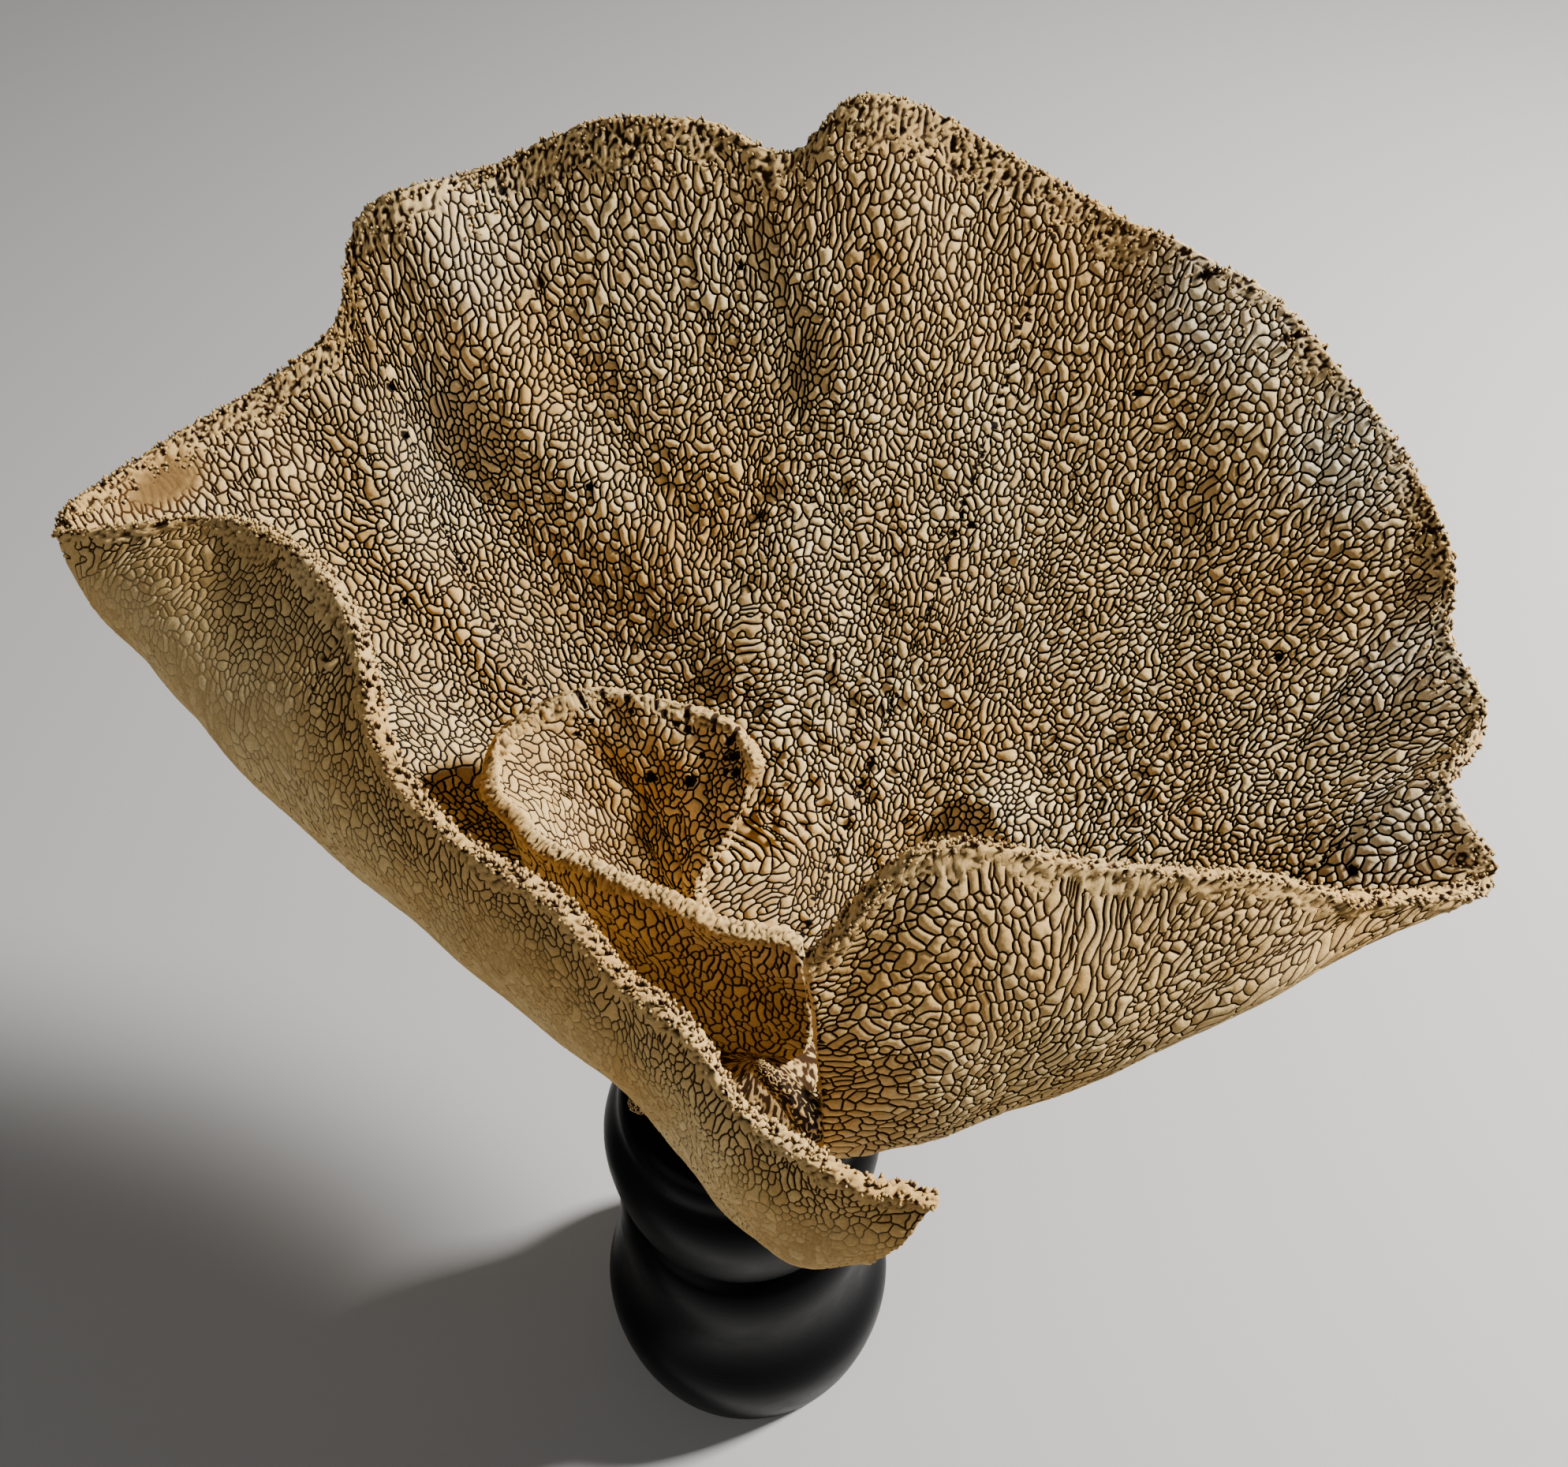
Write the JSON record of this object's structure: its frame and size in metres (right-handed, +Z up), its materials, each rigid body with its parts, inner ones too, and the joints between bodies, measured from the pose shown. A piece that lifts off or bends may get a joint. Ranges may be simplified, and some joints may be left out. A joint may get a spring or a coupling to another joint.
{
  "type": "dried sea sponge on a stand",
  "caption": "Dried cup sponge: a thin wrinkled sheet curled into a leaning boat-shaped bowl with an inner frond, on a turned black wooden stand",
  "frame": {"origin": "centre of the stand's flat underside, on the floor", "axes": "+Z up along the stand's turned axis, -Y towards the sponge's open front where its free edges overlap, +X to the right seen from the front"},
  "size_m": [0.2881, 0.1997, 0.2539],
  "materials": {
    "sponge": "matte",
    "lacquer": "satin"
  },
  "bodies": {
    "root": {"sponge_cup": "sponge", "sponge_frond": "sponge", "stand": "lacquer"}
  },
  "joints": []
}
